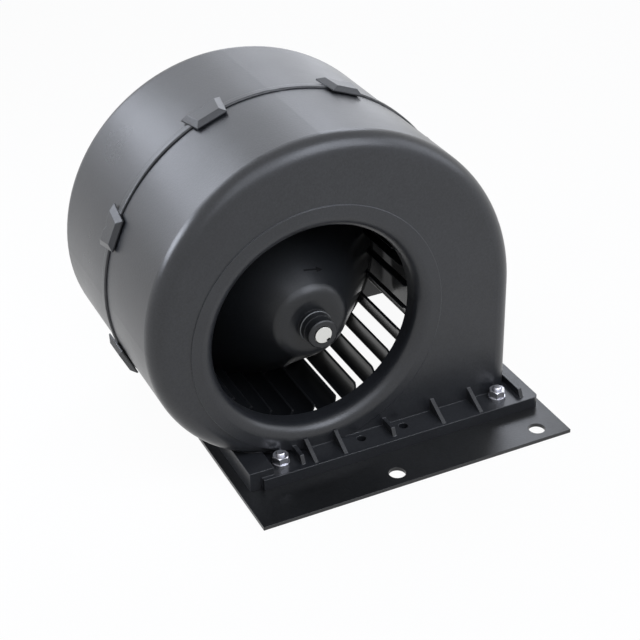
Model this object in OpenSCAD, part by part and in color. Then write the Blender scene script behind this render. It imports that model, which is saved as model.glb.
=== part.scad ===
// Double-inlet scroll blower on a steel mounting plate.
// Origin: centre of the mounting holes on the plate underside. +X right, +Y to the back, +Z up. Millimetres.
// The fan axis runs along Y. Depths along Y are measured from the front wall of the housing.

/* [Plate] */
// Plate width along X
plate_w = 180; // [176:1:200]
// Plate depth along Y
plate_d = 221; // [200:1:240]
// Sheet thickness
plate_t = 2; // [1.6:0.1:4]
// Plate edge beyond the flange on the right
plate_margin = 3.5; // [0:0.5:15]
// Mounting hole diameter
plate_hole_d = 9; // [5:0.1:11]
// Mounting hole spacing along X
plate_hole_pitch = 85; // [60:1:110]
// Mounting hole centres from the right edge
plate_hole_side = 15.5; // [8:0.5:30]
// Mounting hole centres from the front and back edges
plate_hole_edge = 9; // [7:0.5:14]
// Edge of the plate opening outside the duct
opening_gap = 1; // [0:0.1:2]

/* [Scroll housing] */
// Housing depth between its front and rear walls
housing_d = 137; // [125:1:150]
// Shell wall thickness
wall_t = 2.5; // [2:0.1:3.5]
// Gap between the wheel and the tongue
tongue_gap = 3.8; // [2:0.1:8]
// Underside of the drum above the plate
drum_lift = 3.3; // [1:0.1:6]
// Radius step from the upper right arc to the upper left arc
scroll_step_top = 11; // [6:0.5:16]
// Radius step from the upper left arc to the lower left arc
scroll_step_left = 16; // [10:0.5:22]
// Centre of the upper right arc from the fan axis along X
scroll_off_x = 6.5; // [3:0.5:10]
// Centre of the upper right arc from the fan axis along Z
scroll_off_z = -3.3; // [-6:0.1:0]
// Rounding of the front edge
front_round = 9.4; // [4:0.2:14]
// Rounding of the rear edge
rear_round = 8; // [4:0.2:14]
// Tongue edge from the fan axis along X
tongue_x = 0; // [-6:0.5:6]
// Bevel of the tongue edge
tongue_bevel = 2; // [0.5:0.1:4]

/* [Seam and tabs] */
// Depth of the front shell up to the seam
seam_y = 64.3; // [55:0.1:75]
// Width of the seam groove
groove_w = 0.5; // [0.3:0.1:2]
// Depth of the seam groove
groove_depth = 0.6; // [0.3:0.1:1.5]
// Width of the raised rim behind the seam
rim_w = 4; // [2:0.1:8]
// Height of the raised rim
rim_h = 1.1; // [0.4:0.1:1.5]
// Rounding of the front edge of the rim
rim_round = 0.9; // [0.2:0.1:1.5]
// Width of a tab at its front edge
tab_front_w = 17; // [12:0.5:22]
// Width of a tab at its root
tab_root_w = 23; // [18:0.5:30]
// Reach of a tab in front of the seam
tab_reach = 6; // [3:0.5:10]
// Length of a tab behind the seam
tab_root_l = 9.5; // [6:0.5:14]
// Tab thickness
tab_t = 3; // [2:0.1:5]
// Gap between a tab and the front shell
tab_gap = 0.6; // [0.3:0.1:0.9]
// Straight edge of a tab below its bevel
tab_edge = 0.8; // [0.3:0.1:1.5]
// Taper of the bevel from the straight edge to the outer face
tab_taper = 0.7; // [0.5:0.01:0.98]
// Width of the notch in the rear edge of a tab
tab_notch_w = 10; // [4:0.5:12]
// Length of the notch in the rear edge of a tab
tab_notch_l = 4.5; // [2:0.1:5]
// Distance from one tab to the next along the seam
tab_pitch = 75.5; // [68:0.5:80]
// Tab on the upper left arc from the top of the scroll along the seam
tab_lead = 35.3; // [28:0.1:42]

/* [Inlets] */
// Throat radius beyond the inner radius of the blades
inlet_over = 0.5; // [0:0.1:2]
// Rounding of the inlet lip
lip_r = 7.5; // [4:0.1:9]
// Depth of the inlet collar
lip_end = 12.8; // [10:0.1:13.5]
// Width of the raised ring around an inlet
ring_w = 5.5; // [2:0.1:8]
// Height of the raised ring
ring_h = 0.6; // [0.2:0.1:1.2]

/* [Flange] */
// Flange thickness
flange_t = 6.6; // [5.9:0.1:8]
// Reach of the flange past the front and rear walls
flange_reach = 15.5; // [13:0.5:20]
// Reach of the flange past the right wall
flange_over = 10; // [4:0.5:14]
// Rounding of the right corners of the flange
flange_round = 3; // [1:0.5:4]
// Right side of the corner block from the fan axis
block_x = -34; // [-40:0.5:-31]
// Width of the corner block
block_w = 13.5; // [8:0.5:18]
// Set-back of the corner block behind the flange front
block_back = 2.5; // [0.5:0.1:5]
// Height of the corner block and of the upright ribs
rib_h = 10.9; // [9:0.1:14]
// Rib thickness
rib_t = 2.1; // [1.5:0.1:3]
// Reach of the upright ribs at their top
rib_reach = 9.8; // [5:0.1:11]
// Reach of the upright ribs at their foot
rib_foot = 12.2; // [11.5:0.1:13]
// Left upright rib from the fan axis
rib_left_x = -16.8; // [-19:0.1:-14]
// Middle upright rib from the fan axis
rib_mid_x = 36.2; // [28:0.2:40]
// Length of the right end rib along the duct
end_rib_l = 25; // [10:1:50]
// Height of the gussets
gusset_h = 14.1; // [10:0.1:20]
// Reach of the gussets
gusset_reach = 14.3; // [9:0.1:15]
// First gusset from the fan axis, left pair
gusset_left_x = -10.4; // [-12:0.2:-6]
// Spacing of the left pair of gussets
gusset_left_pitch = 17.1; // [10:0.1:20]
// First gusset from the fan axis, right pair
gusset_right_x = 65.1; // [55:0.2:70]
// Spacing of the right pair of gussets
gusset_right_pitch = 22.9; // [12:0.1:24]
// Stud centres in front of the walls
stud_out = 5.8; // [5.3:0.1:9]
// Left stud from the corner block
stud_left_gap = 7; // [5.5:0.1:10]
// Right stud from the right wall
stud_right_gap = 10.9; // [8:0.1:16]
// Middle of the spare holes from the fan axis
spare_mid_x = 32.1; // [24:0.1:42]
// Spacing of the spare holes
spare_pitch = 25; // [14:0.5:34]
// Spare hole diameter
spare_d = 5; // [3:0.1:6]

/* [Studs] */
// Stud thread diameter
stud_d = 5; // [4:0.1:6]
// Rim of the stud head, pressed flush into the plate
stud_head_rim = 1.4; // [0.8:0.1:2]
// Stud head thickness
stud_head_t = 1.2; // [0.8:0.1:1.5]
// Nut width across flats
nut_af = 8; // [7.2:0.1:9]
// Nut height
nut_h = 4; // [3:0.1:6]
// Washer diameter
washer_d = 9.4; // [8:0.1:10.5]
// Washer thickness
washer_t = 1.5; // [0.6:0.1:2]
// Stud length above the nut
stud_over = 1.6; // [0.8:0.1:4]
// Radial clearance of a stud or screw in its hole
stud_gap = 0.3; // [0.1:0.05:0.5]
// Radial clearance of a threaded or seated fit
seat_gap = 0.05; // [0.02:0.01:0.1]

/* [Fan wheel] */
// Outer radius of the wheel
wheel_r = 66; // [60:0.5:72]
// Number of blades
blade_n = 28; // [20:1:34]
// Blades set back from the outer radius of the wheel
blade_back = 0.8; // [0.2:0.1:2]
// Radial depth of the blades
blade_depth = 9.2; // [7:0.2:12]
// Forward lean of a blade between its inner and outer edge, degrees
blade_lean = 7.6; // [5:0.1:12]
// Half of the turning angle of a blade, degrees
blade_turn = 30; // [20:1:38]
// Blade thickness
blade_t = 1.1; // [0.8:0.1:1.8]
// Angle of the first blade
blade_phase = -61.2; // [-70:0.2:-50]
// Gap between the inlet collars and the wheel
collar_gap = 2.5; // [1.5:0.1:5]
// Radial width of the end rings
end_ring_t = 3.6; // [2:0.1:5]
// Width of the end rings along the axis
end_ring_w = 4; // [2:0.5:8]
// Reach of the end rings past the blades
end_ring_over = 1; // [0.5:0.1:1.5]
// Thickness of the disc that carries the blades
disc_t = 2.5; // [1.5:0.1:4]
// Disc set back from the outer edges of the blades
disc_back = 0.6; // [0.2:0.1:4]
// Rim of the disc outside the foot of the cone
disc_rim = 1.6; // [0.6:0.1:5]
// Half angle of the cone, degrees
cone_half = 37; // [33:0.2:42]
// Wall of the cone measured along the axis
cone_wall = 3.3; // [2:0.1:5]
// Depth of the cone nose
nose_y = 8; // [6.5:0.2:12]
// Rounding of the cone nose
nose_round = 9; // [2:0.2:10]
// Depth of the hub rear face
hub_end = 26; // [20:0.5:32]
// Hub wall outside the collar
hub_step = 2.5; // [1:0.1:4]
// Collar wall outside the tip
collar_step = 0.6; // [0.3:0.1:1.5]
// Tip wall outside the sleeve
tip_wall = 1.5; // [1.2:0.1:3]
// Depth of the step between collar and tip
tip_y = 1.5; // [0:0.1:3]
// Bevel of the tip
tip_bevel = 0.6; // [0.2:0.1:1]
// Gap around the shaft end in the tip
tip_gap = 0.5; // [0.2:0.1:1]
// Depth of the clip ring
clip_y = 5.2; // [4:0.1:6]
// Wire diameter of the clip ring
clip_d = 1; // [0.7:0.1:1.4]

/* [Shaft] */
// Shaft diameter
shaft_d = 9; // [7:0.1:10]
// Hub end in front of the front wall
hub_out = 3.5; // [1:0.1:6]
// Shaft end in front of the hub
shaft_over = 0.5; // [0:0.1:3]
// Wall of the hub sleeve
sleeve_t = 1.85; // [1.2:0.05:3]
// Front end of the hub sleeve behind the hub end
sleeve_back = 2.5; // [1:0.1:6]
// Width of the notch in the shaft end
notch_w = 2; // [1:0.1:3]
// Depth of the notch in the shaft end
notch_depth = 1; // [0.5:0.1:2]
// Angle of the notch
notch_angle = -52; // [-90:1:0]
// Length of the notch
notch_l = 8; // [3:0.5:16]
// Radial running clearance in the bearings
run_gap = 0.03; // [0.02:0.01:0.08]

/* [Motor] */
// Outer radius of the motor can
can_r = 33; // [31:0.1:36]
// Can wall thickness
can_t = 1.8; // [1.2:0.1:2.5]
// Can length
can_l = 76; // [72:0.5:90]
// Wall of the bearing boss on the can
boss_wall = 2; // [1.5:0.1:4]
// Length of the bearing boss on the can
boss_l = 8; // [6:0.5:12]
// Bearing wall thickness
bearing_t = 3.47; // [2:0.01:5]
// Length of the bearings
bearing_l = 8; // [6:0.5:9]
// End cap thickness
cap_t = 4; // [3:0.1:6]
// Depth of the end cap inside the can
spigot_l = 8; // [7:0.5:10]
// Wall of the end cap inside the can
spigot_t = 7.6; // [6.6:0.1:9]
// Wall of the end cap around its bearing
cap_boss_wall = 4; // [2:0.1:5]
// Closed end of the end cap behind its bearing
cap_boss_end = 2.5; // [1.5:0.1:5]
// Depth of the rear bearing inside the can
bearing_in = 1; // [0.2:0.1:3]
// Air gap between armature and magnets
air_gap = 1; // [0.5:0.1:1.5]
// Magnet arc, degrees
magnet_arc = 130; // [110:1:150]
// Magnet length
magnet_l = 42; // [34:1:48]
// Armature radius
armature_r = 21; // [18:0.1:23]
// Armature length
armature_l = 34; // [26:1:38]
// Number of armature slots
slot_n = 12; // [8:1:14]
// Slot width
slot_w = 3; // [1.5:0.1:3.5]
// Slot depth
slot_depth = 9; // [5:0.5:10]
// End windings set back from the armature radius
winding_back = 2.5; // [1:0.1:5]
// Length of the end windings
winding_l = 7; // [4:0.2:8]
// Gap between the windings and the commutator
winding_gap = 0.5; // [0.2:0.1:2]
// Commutator radius
comm_r = 11; // [9:0.1:12]
// Commutator length
comm_l = 11; // [8:0.1:12]
// Width of the grooves between commutator bars
bar_gap = 0.6; // [0.3:0.1:1]
// Brush card thickness
card_t = 2; // [1.2:0.1:3]
// Gap around the commutator in the brush card
card_gap = 2; // [1:0.1:3]
// Brush width across the shaft
brush_w = 6; // [4:0.1:7]
// Brush height along the shaft
brush_h = 5; // [3.6:0.1:6]
// Brush length
brush_l = 9; // [6:0.1:10]
// Gap between brush and commutator
brush_air = 0.3; // [0.2:0.05:0.6]
// Clearance of a brush in its holder
brush_gap = 0.3; // [0.15:0.05:0.5]
// Gap between a brush holder and the commutator
holder_gap = 2.5; // [1.5:0.1:4]
// Wall of the brush holders
holder_t = 0.8; // [0.5:0.1:1.2]
// Length of the brush springs
spring_l = 6.4; // [5:0.1:7.5]
// Outer diameter of the brush springs
spring_d = 4; // [2.5:0.1:4.6]
// Wire diameter of the brush springs
spring_wire = 0.6; // [0.4:0.05:0.8]
// Turns of the brush springs
spring_n = 5; // [4:1:6]
// Rim of the thrust washers
thrust_rim = 2.5; // [1:0.1:3]
// Thrust washer thickness
thrust_t = 1; // [0.5:0.1:2]
// Axial play at a thrust washer
thrust_gap = 0.3; // [0.1:0.05:0.5]

/* [Bracket and terminals] */
// Bracket sheet thickness
bracket_t = 2.5; // [1.5:0.1:4]
// Bracket edge outside the motor can
bracket_over = 3; // [0:0.5:6]
// Width of the bracket arms
arm_w = 14; // [11:0.5:18]
// Angle of the upper arm
arm_top = 90; // [75:1:105]
// Angle of the left arm
arm_left = 192; // [180:1:198]
// Angle of the right arm
arm_right = 330; // [320:1:345]
// Rubber pad thickness
pad_t = 3; // [2:0.1:5]
// Rubber pad radius
pad_r = 5; // [4.2:0.1:6]
// Gap between a rubber pad and the inlet ring
pad_gap = 0.5; // [0.2:0.1:1.5]
// Rear wall screw diameter
arm_screw_d = 5; // [3:0.1:5]
// Rear wall screw length in the shell
arm_screw_l = 12; // [8:0.5:14]
// Wall of the screw bosses inside the rear wall
screw_boss_wall = 2.4; // [1.5:0.1:2.8]
// Floor of the screw bosses past the screws
screw_boss_floor = 3; // [1:0.1:5]
// Angle of the first motor screw
motor_screw_start = 30; // [20:1:40]
// Motor screw diameter
motor_screw_d = 4; // [2.5:0.1:4.5]
// Motor screw length in the end cap
motor_screw_l = 8; // [5:0.5:10]
// Terminal width
terminal_w = 6.3; // [4.8:0.1:6.3]
// Terminal thickness
terminal_t = 0.8; // [0.5:0.1:1]
// Half of the distance between the terminals
terminal_x = 6.5; // [5:0.1:7]
// Terminal length behind the end cap
terminal_l = 14; // [8:0.5:15]
// Socket width inside
socket_w = 21; // [20.5:0.5:24]
// Socket height inside
socket_h = 7.2; // [4:0.1:8]
// Socket length behind the end cap
socket_l = 16; // [14:0.5:24]
// Socket wall thickness
socket_t = 1.4; // [1:0.1:2]
// Gap between the socket and the end cap boss
socket_gap = 1; // [0.3:0.1:1.5]
// Clearance around the socket and the boss in the bracket
window_gap = 0.8; // [0.3:0.1:1.5]

/* [Hidden] */
$fn = 72;
SMALL_FN = 36;
EPS = 0.02;
CUT = 1;

blade_out = wheel_r - blade_back;
blade_in = blade_out - blade_depth;
end_ring_in = wheel_r - end_ring_t;
inlet_r = blade_in + inlet_over;
ring_r = inlet_r + lip_r + ring_w;

r_left = wheel_r + tongue_gap + wall_t + scroll_off_z + scroll_step_top;
r_top = r_left + scroll_step_left;
r_right = r_top + scroll_step_top;
right_wall = scroll_off_x + r_right;

front_y = -housing_d / 2;
plate_right = plate_hole_pitch / 2 + plate_hole_side;
axis_x = plate_right - plate_margin - flange_over - right_wall;
axis_z = plate_t + drum_lift + wall_t + tongue_gap + wheel_r;
right_c = [axis_x + scroll_off_x, axis_z + scroll_off_z];
top_c = [right_c[0], right_c[1] + r_right - r_top];
left_c = [top_c[0] - r_top + r_left, top_c[1]];
right_x = axis_x + right_wall;
tongue_edge = axis_x + tongue_x;
tongue_z = left_c[1] - r_left + wall_t;

flange_top = plate_t + flange_t;
stud_left_x = block_x + stud_left_gap;
stud_right_x = right_wall - stud_right_gap;
stud_xs = [axis_x + stud_left_x, axis_x + stud_right_x];
stud_ys = [front_y - stud_out, front_y + housing_d + stud_out];
gusset_xs = [gusset_left_x, gusset_left_x + gusset_left_pitch,
    gusset_right_x, gusset_right_x + gusset_right_pitch];
spare_xs = [spare_mid_x - spare_pitch / 2, spare_mid_x + spare_pitch / 2];
nut_z = flange_top + washer_t;
stud_top = nut_z + nut_h + stud_over;
plate_hole_xs = [-plate_hole_pitch / 2, plate_hole_pitch / 2];
plate_hole_ys = [plate_hole_edge - plate_d / 2, plate_d / 2 - plate_hole_edge];

blade_y = lip_end + collar_gap + end_ring_over;
blade_end = housing_d - blade_y;
blade_a = [blade_in, 0];
blade_b = blade_out * [cos(blade_lean), -sin(blade_lean)];
blade_chord = norm(blade_b - blade_a);
blade_dir = (blade_b - blade_a) / blade_chord;
blade_r = blade_chord / (2 * sin(blade_turn));
blade_c = (blade_a + blade_b) / 2 + [blade_dir[1], -blade_dir[0]] * blade_r * cos(blade_turn);
blade_clip = atan2(blade_c[1], blade_c[0]);

disc_y = (housing_d - disc_t) / 2;
cone_slope = tan(cone_half);
cone_foot_r = blade_out - disc_back - disc_rim;
cone_apex_y = disc_y - cone_foot_r / cone_slope;
nose_c_y = nose_y + nose_round;
nose_c_r = (nose_c_y - cone_apex_y) * cone_slope - nose_round / cos(cone_half);
nose_t_r = nose_c_r + nose_round * cos(cone_half);
nose_t_y = nose_c_y - nose_round * sin(cone_half);
shaft_r = shaft_d / 2;
sleeve_in = shaft_r + seat_gap;
sleeve_r = sleeve_in + sleeve_t;
sleeve_front = sleeve_back - hub_out;
tip_r = sleeve_r + tip_wall;
collar_r = tip_r + collar_step;
hub_r = collar_r + hub_step;

bearing_r = shaft_r + run_gap + bearing_t;
cap_rear = housing_d + pad_t;
bracket_rear = cap_rear + bracket_t;
can_rear = cap_rear - cap_t;
can_front = can_rear - can_l;
can_in = can_r - can_t;
front_bearing_y = can_front + can_t - bearing_l;
rear_bearing_y = can_rear - bearing_in;
cap_boss_r = bearing_r + cap_boss_wall;
cap_boss_rear = rear_bearing_y + bearing_l + cap_boss_end;
spigot_r = can_in - seat_gap;
spigot_in = spigot_r - spigot_t;
spigot_front = can_rear - spigot_l;
card_front = spigot_front - card_t;
holder_w = brush_w + 2 * brush_gap + 2 * holder_t;
holder_h = brush_h + 2 * brush_gap + 2 * holder_t;
holder_in = comm_r + holder_gap;
brush_mid = card_front - holder_h / 2;
brush_in = comm_r + brush_air;
brush_out = brush_in + brush_l;
spring_out = brush_out + spring_l;
comm_front = brush_mid - comm_l / 2;
armature_rear = comm_front - winding_gap - winding_l;
armature_front = armature_rear - armature_l;
magnet_in = armature_r + air_gap;
magnet_y = (armature_front + armature_rear - magnet_l) / 2;
front_thrust_y = can_front + can_t + thrust_gap;
rear_thrust_y = rear_bearing_y - thrust_gap - thrust_t;
shaft_rear = rear_bearing_y + bearing_l - thrust_gap;
terminal_z = cap_boss_r + socket_gap + socket_t + socket_h / 2;
arm_r = ring_r + pad_gap + pad_r;
arm_angles = [arm_top, arm_left, arm_right];
motor_screw_r = (spigot_in + spigot_r) / 2;
motor_screw_angles = [for (i = [0:2]) motor_screw_start + i * 120];

// Moves to the fan axis at the front wall, with X right, Y back and Z up.
module on_axis() {
    translate([axis_x, front_y, axis_z]) children();
}

// Extrudes a drawing in X and Z from depth y0 to y1.
module slab(y0, y1) {
    translate([0, y1, 0]) rotate([90, 0, 0]) linear_extrude(height = y1 - y0) children();
}

// Turns a drawing of radius against depth about Y.
module turned() {
    rotate([-90, 0, 0]) rotate_extrude() children();
}

// Turns a drawing of radius against depth about Y between two angles seen from the front.
module turned_part(a0, a1) {
    rotate([-90, 0, 0]) rotate([0, 0, -a1]) rotate_extrude(angle = a1 - a0) children();
}

// A rectangle given by its two corners.
module box2(x0, y0, x1, y1) {
    translate([x0, y0]) square([x1 - x0, y1 - y0]);
}

// A block given by its two corners.
module box3(a, b) {
    translate(a) cube(b - a);
}

// A ring of rectangular section about the fan axis.
module ring(r0, r1, y0, y1) {
    on_axis() turned() box2(r0, y0, r1, y1);
}

// A round rod along Y from depth y0 to y1.
module rod(y0, y1, r) {
    translate([0, y0, 0]) rotate([-90, 0, 0]) cylinder(h = y1 - y0, r = r, $fn = SMALL_FN);
}

// Repeats around the fan axis at radius r and the given angles.
module around(r, angles) {
    for (a = angles) {
        on_axis() translate([r * cos(a), 0, r * sin(a)]) children();
    }
}

// Section of a scroll wall out to x1, its far corner rounded at the front or at the rear.
module scroll_section(x0, x1, y0, y1, round, at_front) {
    box2(x0, y0, x1 - round, y1);
    box2(x0, at_front ? y0 + round : y0, x1, at_front ? y1 : y1 - round);
    if (round > 0) {
        translate([x1 - round, at_front ? y0 + round : y1 - round]) circle(r = round, $fn = SMALL_FN);
    }
}

// Solid of the scroll and its duct between two depths, pulled in by inset, from duct_x down to floor_z.
module scroll(y0, y1, inset, round, at_front, duct_x, floor_z) {
    translate([right_c[0], front_y, right_c[1]])
        turned_part(0, 90) scroll_section(0, r_right - inset, y0, y1, round, at_front);
    translate([top_c[0], front_y, top_c[1]])
        turned_part(90, 180) scroll_section(0, r_top - inset, y0, y1, round, at_front);
    translate([left_c[0], front_y, left_c[1]])
        turned_part(180, 270) scroll_section(0, r_left - inset, y0, y1, round, at_front);
    box3([left_c[0], front_y + y0, right_c[1]], [right_c[0], front_y + y1, top_c[1]]);
    translate([0, front_y, floor_z]) linear_extrude(height = right_c[1] - floor_z)
        scroll_section(duct_x, right_x - inset, y0, y1, round, at_front);
}

// Outside of a shell between two depths, raised by rise.
module shell_body(y0, y1, rise, round, at_front) {
    scroll(y0, y1, -rise, round, at_front, left_c[0], plate_t);
}

// Inside of a shell, with the bevelled tongue between the lower left arc and the duct.
module shell_space(y0, y1, round, at_front) {
    scroll(y0, y1, wall_t, round, at_front, tongue_edge, plate_t - CUT);
    translate([left_c[0], front_y, right_c[1]]) rotate([0, 90, 0])
        linear_extrude(height = tongue_edge - left_c[0])
            scroll_section(0, right_c[1] - tongue_z, y0, y1, round, at_front);
    slab(front_y + y0, front_y + y1) polygon([[tongue_edge - tongue_bevel, tongue_z],
        [tongue_edge, tongue_z - tongue_bevel], [tongue_edge, right_c[1]],
        [tongue_edge - tongue_bevel, right_c[1]]]);
}

// Rounded inlet lip with its collar and the raised ring, depths counted inward from the wall.
module lip_section() {
    centre_r = inlet_r + lip_r;
    centre_y = lip_r - ring_h;
    box2(inlet_r, centre_y, inlet_r + wall_t, lip_end);
    box2(centre_r, -ring_h, ring_r, wall_t);
    intersection() {
        difference() {
            translate([centre_r, centre_y]) circle(r = lip_r, $fn = SMALL_FN);
            translate([centre_r, centre_y]) circle(r = lip_r - wall_t, $fn = SMALL_FN);
        }
        box2(inlet_r - CUT, -ring_h - CUT, centre_r, centre_y);
    }
}

// Space cut from a wall for the inlet lip.
module lip_space(y0, y1) {
    on_axis() turned() box2(0, y0, inlet_r + lip_r + CUT, y1);
}

// Places flange parts at the front wall, Y outward and Z up from the plate.
module at_front_wall() {
    translate([axis_x, front_y, plate_t]) mirror([0, 1, 0]) children();
}

// Places flange parts at the rear wall, Y outward and Z up from the plate.
module at_rear_wall() {
    translate([axis_x, front_y + housing_d, plate_t]) children();
}

// Stands an outline of reach against height up at x, rib_t thick.
module upright(x) {
    translate([x - rib_t / 2, 0, 0]) rotate([90, 0, 90]) linear_extrude(height = rib_t) children();
}

// Outline of an upright rib that starts at reach -back.
module rib_outline(back) {
    polygon([[-back, 0], [rib_foot, 0], [rib_foot, flange_t], [rib_reach, rib_h], [-back, rib_h]]);
}

// Outline of a gusset between the wall and the flange.
module gusset_outline() {
    polygon([[-wall_t, 0], [gusset_reach, 0], [gusset_reach, flange_t], [0, gusset_h], [-wall_t, gusset_h]]);
}

// Flange, corner block, ribs and gussets along one wall, running back by depth.
module flange_parts(depth) {
    flange_right = right_wall + flange_over;
    linear_extrude(height = flange_t)
        scroll_section(block_x - block_w / 2, flange_right, -depth, flange_reach, flange_round, false);
    box3([block_x - block_w, -depth, 0], [block_x, flange_reach - block_back, rib_h]);
    upright(rib_left_x) rib_outline(wall_t);
    upright(rib_mid_x) rib_outline(wall_t);
    upright(right_wall + rib_t / 2) rib_outline(end_rib_l);
    for (x = gusset_xs) {
        upright(x) gusset_outline();
    }
}

// Stud and spare holes of the flange along one wall.
module flange_holes() {
    for (x = [stud_left_x, stud_right_x]) {
        translate([x, stud_out, -CUT])
            cylinder(h = rib_h + 2 * CUT, r = stud_d / 2 + stud_gap, $fn = SMALL_FN);
    }
    for (x = spare_xs) {
        translate([x, stud_out, -CUT]) cylinder(h = rib_h + 2 * CUT, d = spare_d, $fn = SMALL_FN);
    }
}

// Outline of a tab about its middle, X along the arc and Y back.
module tab_outline() {
    half_l = (tab_reach + tab_root_l) / 2;
    polygon([[-tab_front_w / 2, -half_l], [tab_front_w / 2, -half_l], [tab_root_w / 2, half_l],
        [-tab_root_w / 2, half_l]]);
}

// One closing tab with its root on the rear shell, X along the arc, Y back and Z outward.
module tab() {
    notch_y = tab_root_l - tab_notch_l;
    difference() {
        translate([0, (tab_root_l - tab_reach) / 2, tab_gap]) {
            linear_extrude(height = tab_edge) tab_outline();
            translate([0, 0, tab_edge]) linear_extrude(height = tab_t - tab_edge, scale = tab_taper)
                tab_outline();
        }
        translate([0, 0, tab_gap - CUT]) linear_extrude(height = tab_t + 2 * CUT)
            polygon([[0, notch_y], [tab_notch_w / 2, tab_root_l], [tab_notch_w / 2, tab_root_l + CUT],
            [-tab_notch_w / 2, tab_root_l + CUT], [-tab_notch_w / 2, tab_root_l]]);
    }
    box3([CUT - tab_front_w / 2, CUT, -wall_t / 2], [tab_front_w / 2 - CUT, notch_y, tab_gap + tab_edge / 2]);
}

// Turns a tab to its place on an arc of the seam.
module tab_at(centre, radius, angle) {
    translate([centre[0], front_y + seam_y, centre[1]]) rotate([0, 90 - angle, 0])
        translate([0, 0, radius]) tab();
}

// One closing tab at a distance along the seam, counted to the left from the top of the scroll.
module tab_along(s) {
    right_l = r_right * PI / 2;
    top_l = r_top * PI / 2;
    turn = 180 / PI;
    if (s < -right_l) {
        tab_at(right_c + [0, s + right_l], r_right, 0);
    } else if (s < 0) {
        tab_at(right_c, r_right, 90 + turn * s / r_right);
    } else if (s < top_l) {
        tab_at(top_c, r_top, 90 + turn * s / r_top);
    } else {
        tab_at(left_c, r_left, 180 + turn * (s - top_l) / r_left);
    }
}

// Closing tabs along the seam, the lowest on the right on the straight wall.
module tabs() {
    for (i = [-3:2]) {
        tab_along(tab_lead + i * tab_pitch);
    }
}

// Boss for one bracket screw inside the rear wall.
module screw_boss() {
    rod(housing_d - arm_screw_l - screw_boss_floor, housing_d - wall_t / 2,
        arm_screw_d / 2 + seat_gap + screw_boss_wall);
}

module front_shell() {
    color("#2b2c2e") {
        difference() {
            union() {
                shell_body(0, seam_y - groove_w, 0, front_round, true);
                shell_body(seam_y - groove_w - EPS, seam_y, -groove_depth, 0, true);
                at_front_wall() flange_parts(seam_y);
            }
            shell_space(wall_t, seam_y + CUT, front_round - wall_t, true);
            at_front_wall() flange_holes();
            lip_space(-CUT, wall_t + CUT);
        }
        on_axis() turned() lip_section();
    }
}

module rear_shell() {
    color("#2b2c2e") {
        difference() {
            union() {
                difference() {
                    union() {
                        shell_body(seam_y, housing_d, 0, rear_round, false);
                        shell_body(seam_y, seam_y + rim_w, rim_h, rim_round, true);
                        at_rear_wall() flange_parts(housing_d - seam_y);
                        tabs();
                    }
                    shell_space(seam_y - CUT, housing_d - wall_t, rear_round - wall_t, false);
                    at_rear_wall() flange_holes();
                    lip_space(housing_d - wall_t - CUT, housing_d + CUT);
                }
                around(arm_r, arm_angles) screw_boss();
            }
            around(arm_r, arm_angles)
                rod(housing_d - arm_screw_l, housing_d + CUT, arm_screw_d / 2 + seat_gap);
        }
        translate([0, housing_d, 0]) on_axis() mirror([0, 1, 0]) turned() lip_section();
    }
}

module base_plate() {
    x0 = tongue_edge - opening_gap;
    x1 = right_x - wall_t + opening_gap;
    y1 = housing_d / 2 - wall_t + opening_gap;
    color("#1d1e20") difference() {
        box3([plate_right - plate_w, -plate_d / 2, 0], [plate_right, plate_d / 2, plate_t]);
        box3([x0, -y1, -CUT], [x1, y1, plate_t + CUT]);
        for (x = plate_hole_xs, y = plate_hole_ys) {
            translate([x, y, -CUT]) cylinder(h = plate_t + 2 * CUT, d = plate_hole_d, $fn = SMALL_FN);
        }
        at_studs(-CUT) {
            cylinder(h = plate_t + 2 * CUT, r = stud_d / 2 + seat_gap, $fn = SMALL_FN);
            cylinder(h = stud_head_t + CUT, r = stud_d / 2 + stud_head_rim + seat_gap, $fn = SMALL_FN);
        }
    }
}

// Repeats at the four studs at height z.
module at_studs(z) {
    for (x = stud_xs, y = stud_ys) {
        translate([x, y, z]) children();
    }
}

module plate_studs() {
    chamfer = stud_d / 8;
    color("#c9ccd0") at_studs(0) {
        cylinder(h = stud_head_t, r = stud_d / 2 + stud_head_rim, $fn = SMALL_FN);
        cylinder(h = stud_top - chamfer, d = stud_d, $fn = SMALL_FN);
        translate([0, 0, stud_top - chamfer])
            cylinder(h = chamfer, d1 = stud_d, d2 = stud_d - 2 * chamfer, $fn = SMALL_FN);
    }
}

module stud_washers() {
    color("#c9ccd0") at_studs(flange_top) difference() {
        cylinder(h = washer_t, d = washer_d, $fn = SMALL_FN);
        translate([0, 0, -CUT])
            cylinder(h = washer_t + 2 * CUT, r = stud_d / 2 + stud_gap, $fn = SMALL_FN);
    }
}

module stud_nuts() {
    color("#c9ccd0") at_studs(nut_z) difference() {
        intersection() {
            cylinder(h = nut_h, d = nut_af / cos(30), $fn = 6);
            cylinder(h = nut_h, d1 = nut_af + 2 * nut_h, d2 = nut_af, $fn = SMALL_FN);
        }
        translate([0, 0, -CUT])
            cylinder(h = nut_h + 2 * CUT, r = stud_d / 2 + seat_gap, $fn = SMALL_FN);
    }
}

// Outline of one blade seen from the front.
module blade_outline() {
    intersection() {
        difference() {
            translate(blade_c) circle(r = blade_r + blade_t / 2, $fn = SMALL_FN);
            translate(blade_c) circle(r = blade_r - blade_t / 2, $fn = SMALL_FN);
        }
        difference() {
            circle(r = blade_out);
            circle(r = blade_in);
        }
        polygon([[0, 0], 2 * blade_out * [cos(blade_clip), sin(blade_clip)], [2 * blade_out, blade_out / 2]]);
    }
}

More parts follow.
